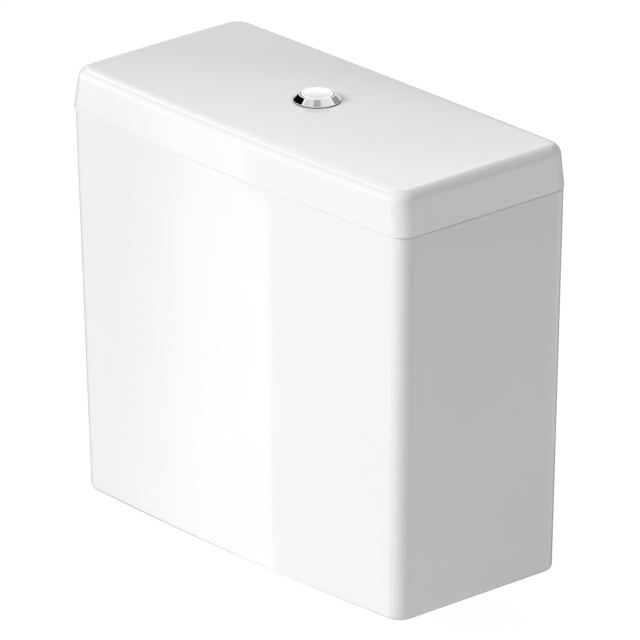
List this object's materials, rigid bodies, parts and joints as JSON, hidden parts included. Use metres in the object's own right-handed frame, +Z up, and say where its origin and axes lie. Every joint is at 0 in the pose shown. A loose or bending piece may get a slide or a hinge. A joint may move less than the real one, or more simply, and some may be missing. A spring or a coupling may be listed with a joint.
{
  "type": "toilet cistern",
  "caption": "Close-coupled ceramic toilet cistern with tapered tank, crowned lift-off lid and round push button, flush valve and fill valve inside.",
  "frame": {"origin": "axis of the flush outlet, midway between the two coupling bolts, in the plane of the tank's underside rim", "axes": "+Z up, +Y towards the wall behind the cistern, -Y the arched front, +X to the right as seen from the front"},
  "size_m": [0.3898, 0.1782, 0.406],
  "materials": {
    "glazed_shell": "gloss",
    "button_chrome": "polished",
    "white_plastic": "satin",
    "pale_plastic": "satin",
    "blue_plastic": "satin",
    "seal_rubber": "matte",
    "red_rubber": "matte",
    "pad_rubber": "matte",
    "foam_rubber": "matte",
    "bolt_brass": "satin",
    "washer_steel": "satin",
    "spring_steel": "satin"
  },
  "bodies": {
    "tank": {"tank": "glazed_shell", "valve_seat": "white_plastic", "seat_gasket": "seal_rubber", "outlet_backnut": "white_plastic", "coupling_gasket": "foam_rubber", "coupling_bolts": "bolt_brass", "bolt_seals": "seal_rubber", "bolt_washers": "washer_steel", "bolt_nuts": "bolt_brass", "valve_tower": "pale_plastic", "tower_cap": "blue_plastic", "rocker_pins": "washer_steel", "inlet_shank": "white_plastic", "inlet_washer": "seal_rubber", "inlet_backnut": "white_plastic", "inlet_filter": "pale_plastic", "fill_riser": "white_plastic", "riser_clip": "blue_plastic", "fill_head": "white_plastic", "diaphragm": "seal_rubber", "fill_cap": "blue_plastic", "lever_pin": "washer_steel"},
    "lid": {"lid": "glazed_shell", "lid_pads": "pad_rubber", "button_bezel": "button_chrome", "button_housing": "white_plastic", "housing_washer": "seal_rubber", "housing_nut": "white_plastic", "button_spring": "spring_steel"},
    "button": {"push_button": "button_chrome", "button_stem": "white_plastic", "push_rod": "white_plastic", "rod_locknut": "blue_plastic", "rod_foot": "white_plastic"},
    "rocker_left": {"rocker_left": "blue_plastic"},
    "rocker_right": {"rocker_right": "blue_plastic"},
    "valve_stem": {"overflow_tube": "white_plastic", "seal_retainer": "white_plastic", "valve_seal": "red_rubber", "seal_plate": "white_plastic", "stem_float": "pale_plastic", "lift_yoke": "blue_plastic"},
    "float": {"float_cup": "pale_plastic", "adjusting_rod": "white_plastic", "rod_collars": "blue_plastic"},
    "float_lever": {"float_lever": "white_plastic"}
  },
  "joints": [
    {"name": "lid_lift", "type": "slide", "parent": "tank", "child": "lid", "axis": [0, 0, 1], "range_m": [0, 0.2]},
    {"name": "button_press", "type": "slide", "parent": "lid", "child": "button", "axis": [0, 0, -1], "range_m": [0, 0.0077], "stiffness_N_per_m": 500, "springref_m": -0.004, "deforming": ["button_spring"]},
    {"name": "rocker_left_tilt", "type": "hinge", "parent": "tank", "child": "rocker_left", "pos_m": [-0.02, 0, 0.28], "axis": [0, 1, 0], "range_deg": [0, 32]},
    {"name": "rocker_right_tilt", "type": "hinge", "parent": "tank", "child": "rocker_right", "pos_m": [0.02, 0, 0.28], "axis": [0, -1, 0], "range_deg": [0, 32]},
    {"name": "valve_lift", "type": "slide", "parent": "tank", "child": "valve_stem", "axis": [0, 0, 1], "range_m": [0, 0.00992]},
    {"name": "float_rise", "type": "slide", "parent": "tank", "child": "float", "axis": [0, 0, 1], "range_m": [0, 0.018]},
    {"name": "float_lever_tilt", "type": "hinge", "parent": "tank", "child": "float_lever", "pos_m": [-0.12373, 0, 0.27], "axis": [0, -1, 0], "range_deg": [0, 39]}
  ],
  "couplings": [
    {"joint": "rocker_left_tilt", "follows": "button_press", "rad_per_m": 72.365},
    {"joint": "rocker_right_tilt", "follows": "button_press", "rad_per_m": 72.365},
    {"joint": "valve_lift", "follows": "button_press", "ratio": 1.2857},
    {"joint": "float_lever_tilt", "follows": "float_rise", "rad_per_m": 37.763}
  ]
}
